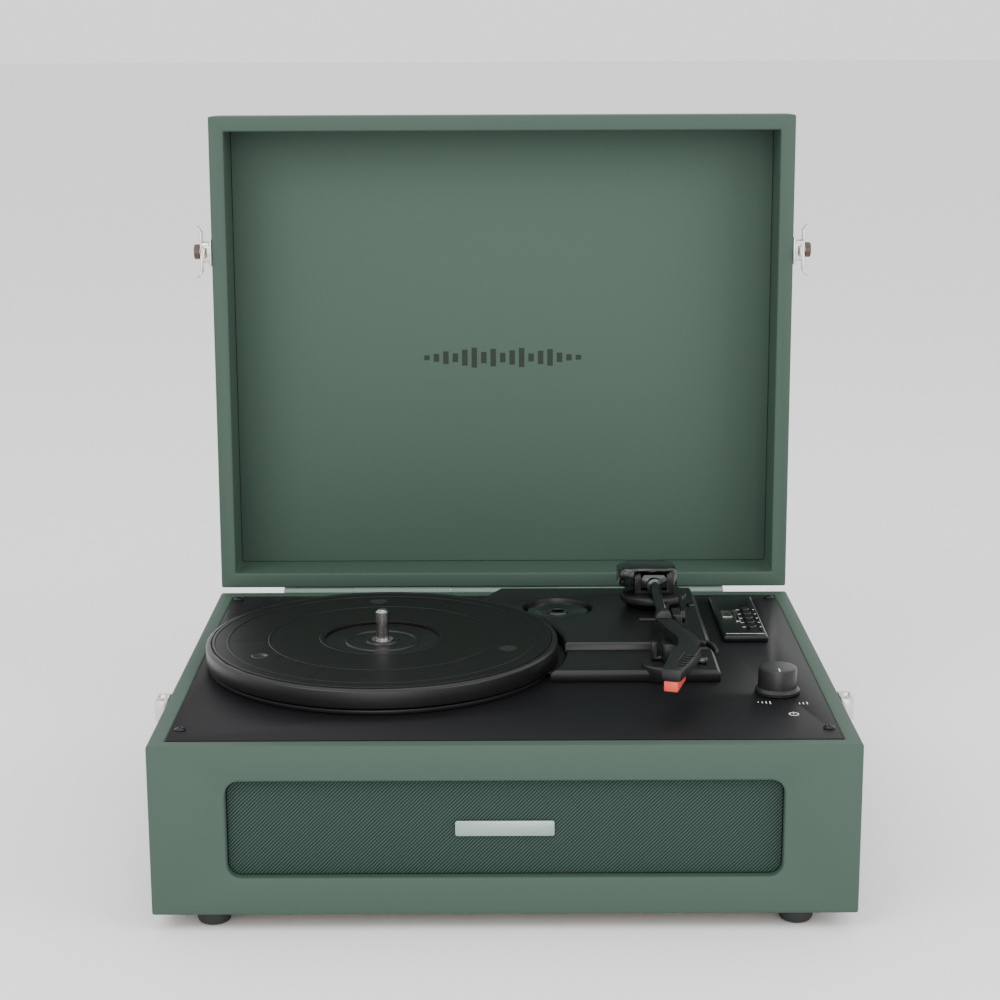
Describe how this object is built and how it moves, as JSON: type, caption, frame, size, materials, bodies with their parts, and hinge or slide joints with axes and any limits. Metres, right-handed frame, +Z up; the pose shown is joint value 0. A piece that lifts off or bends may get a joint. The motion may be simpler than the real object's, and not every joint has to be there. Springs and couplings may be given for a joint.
{
  "type": "portable suitcase record player",
  "caption": "Suitcase record player with open hinged lid, belt-driven platter, tonearm, front speaker window, knob, media panel and side latches.",
  "frame": {"origin": "on the floor, in the middle of the whole object's box with the lid open", "axes": "+X to the player's right, +Y from the front to the back, +Z up"},
  "size_m": [0.3736, 0.3354, 0.3866],
  "materials": {
    "green_wrap": "sage green leatherette wrapped over wood board, fine grain, matt",
    "green_lining": "sage green leatherette lining, fine grain, matt",
    "green_hinge": "green painted steel, satin",
    "green_cloth": "dark green woven speaker cloth",
    "badge_metal": "satin plate",
    "board": "bare fibreboard",
    "black_deck": "fine grained black top plate, satin",
    "black_plastic": "moulded black plastic, satin",
    "black_gloss": "black, glossy",
    "black_mat": "moulded black record mat, satin",
    "rubber": "black rubber, matt",
    "steel": "turned steel",
    "nickel": "nickel plated",
    "brass": "turned brass",
    "stylus_red": "orange red moulding",
    "circuit": "circuit board",
    "cone_paper": "black pressed paper and steel basket"
  },
  "bodies": {
    "root": {"arm_rest": "black_plastic", "arm_turret": "black_plastic", "aux_jack": "steel", "bottom_panel": "board", "case_shell": "green_wrap", "chassis": "black_plastic", "control_panel": "black_gloss", "cue_block": "black_plastic", "dc_inlet": "black_plastic", "deck_plate": "black_deck", "drive_belt": "rubber", "drive_motor": "steel", "foot_back_left": "rubber", "foot_back_right": "rubber", "foot_front_left": "rubber", "foot_front_right": "rubber", "grille_badge": "badge_metal", "grille_cloth": "green_cloth", "hinge_base_leaf": "green_hinge", "hinge_pin": "steel", "latch_keeper_left": "nickel", "latch_keeper_right": "nickel", "main_board": "circuit", "media_board": "circuit", "rca_jacks": "steel", "rear_panel": "black_plastic", "speaker_baffle": "board", "speaker_left": "cone_paper", "speaker_right": "cone_paper", "spindle": "steel", "volume_pot": "steel"},
    "lid": {"lid_shell": "green_wrap", "lid_lining": "green_lining", "hinge_lid_leaf": "green_hinge", "latch_plate_left": "nickel", "latch_plate_right": "nickel"},
    "latch_left": {"latch_key_left": "nickel"},
    "latch_right": {"latch_key_right": "nickel"},
    "platter": {"platter": "black_plastic", "platter_mat": "black_mat", "platter_bush": "steel"},
    "pulley": {"motor_pulley": "brass"},
    "adapter": {"adapter_45": "black_gloss"},
    "arm_swivel": {"arm_yoke": "black_plastic", "arm_hood": "black_gloss"},
    "arm": {"arm_tube": "black_gloss", "headshell": "black_plastic", "cartridge": "black_plastic", "stylus": "stylus_red", "counterweight": "steel"},
    "cue_lever": {"cue_lever": "black_plastic"},
    "cue_platform": {"cue_platform": "black_plastic"},
    "speed_selector": {"speed_selector": "black_gloss"},
    "volume_knob": {"volume_knob": "black_plastic"},
    "button_1": {"button_1": "black_gloss"},
    "button_2": {"button_2": "black_gloss"},
    "button_3": {"button_3": "black_gloss"},
    "button_4": {"button_4": "black_gloss"},
    "button_5": {"button_5": "black_gloss"}
  },
  "joints": [
    {"name": "lid_hinge", "type": "hinge", "parent": "root", "child": "lid", "pos_m": [0, 0.12276, 0.0962], "axis": [-1, 0, 0], "range_deg": [-91.2, 0]},
    {"name": "latch_left_turn", "type": "hinge", "parent": "lid", "child": "latch_left", "pos_m": [-0.175, 0.14065, 0.30537], "axis": [1, 0, 0], "range_deg": [0, 90]},
    {"name": "latch_right_turn", "type": "hinge", "parent": "lid", "child": "latch_right", "pos_m": [0.175, 0.14065, 0.30537], "axis": [1, 0, 0], "range_deg": [0, 90]},
    {"name": "platter_spin", "type": "hinge", "parent": "root", "child": "platter", "pos_m": [-0.0669, -0.02474, 0.0965], "axis": [0, 0, -1], "continuous": true},
    {"name": "pulley_spin", "type": "hinge", "parent": "root", "child": "pulley", "pos_m": [-0.11781, 0.02617, 0.0965], "axis": [0, 0, -1], "continuous": true},
    {"name": "arm_swing", "type": "hinge", "parent": "root", "child": "arm_swivel", "pos_m": [0.0875, 0.05426, 0.1225], "axis": [0, 0, -1], "range_deg": [0, 46]},
    {"name": "arm_lift", "type": "hinge", "parent": "arm_swivel", "child": "arm", "pos_m": [0.0875, 0.05426, 0.1225], "axis": [-1, 0, 0], "range_deg": [0, 10]},
    {"name": "cue_lever_turn", "type": "hinge", "parent": "root", "child": "cue_lever", "pos_m": [0.0963, -0.00074, 0.1145], "axis": [1, 0, 0], "range_deg": [0, 70]},
    {"name": "cue_platform_rise", "type": "slide", "parent": "root", "child": "cue_platform", "axis": [0, 0, 1], "range_m": [0, 0.003]},
    {"name": "adapter_lift", "type": "slide", "parent": "root", "child": "adapter", "axis": [0, 0, 1], "range_m": [0, 0.03]},
    {"name": "speed_select", "type": "slide", "parent": "root", "child": "speed_selector", "axis": [0, 1, 0], "range_m": [0, 0.01]},
    {"name": "volume_turn", "type": "hinge", "parent": "root", "child": "volume_knob", "pos_m": [0.1432, -0.08424, 0.0965], "axis": [0, 0, -1], "range_deg": [0, 300]},
    {"name": "button_1_press", "type": "slide", "parent": "root", "child": "button_1", "axis": [0, 0, -1], "range_m": [0, 0.0008], "stiffness_N_per_m": 300},
    {"name": "button_2_press", "type": "slide", "parent": "root", "child": "button_2", "axis": [0, 0, -1], "range_m": [0, 0.0008], "stiffness_N_per_m": 300},
    {"name": "button_3_press", "type": "slide", "parent": "root", "child": "button_3", "axis": [0, 0, -1], "range_m": [0, 0.0008], "stiffness_N_per_m": 300},
    {"name": "button_4_press", "type": "slide", "parent": "root", "child": "button_4", "axis": [0, 0, -1], "range_m": [0, 0.0008], "stiffness_N_per_m": 300},
    {"name": "button_5_press", "type": "slide", "parent": "root", "child": "button_5", "axis": [0, 0, -1], "range_m": [0, 0.0008], "stiffness_N_per_m": 300}
  ],
  "couplings": [
    {"joint": "pulley_spin", "follows": "platter_spin", "ratio": 9.1667},
    {"joint": "cue_lever_turn", "follows": "cue_platform_rise", "rad_per_m": 407.24}
  ]
}
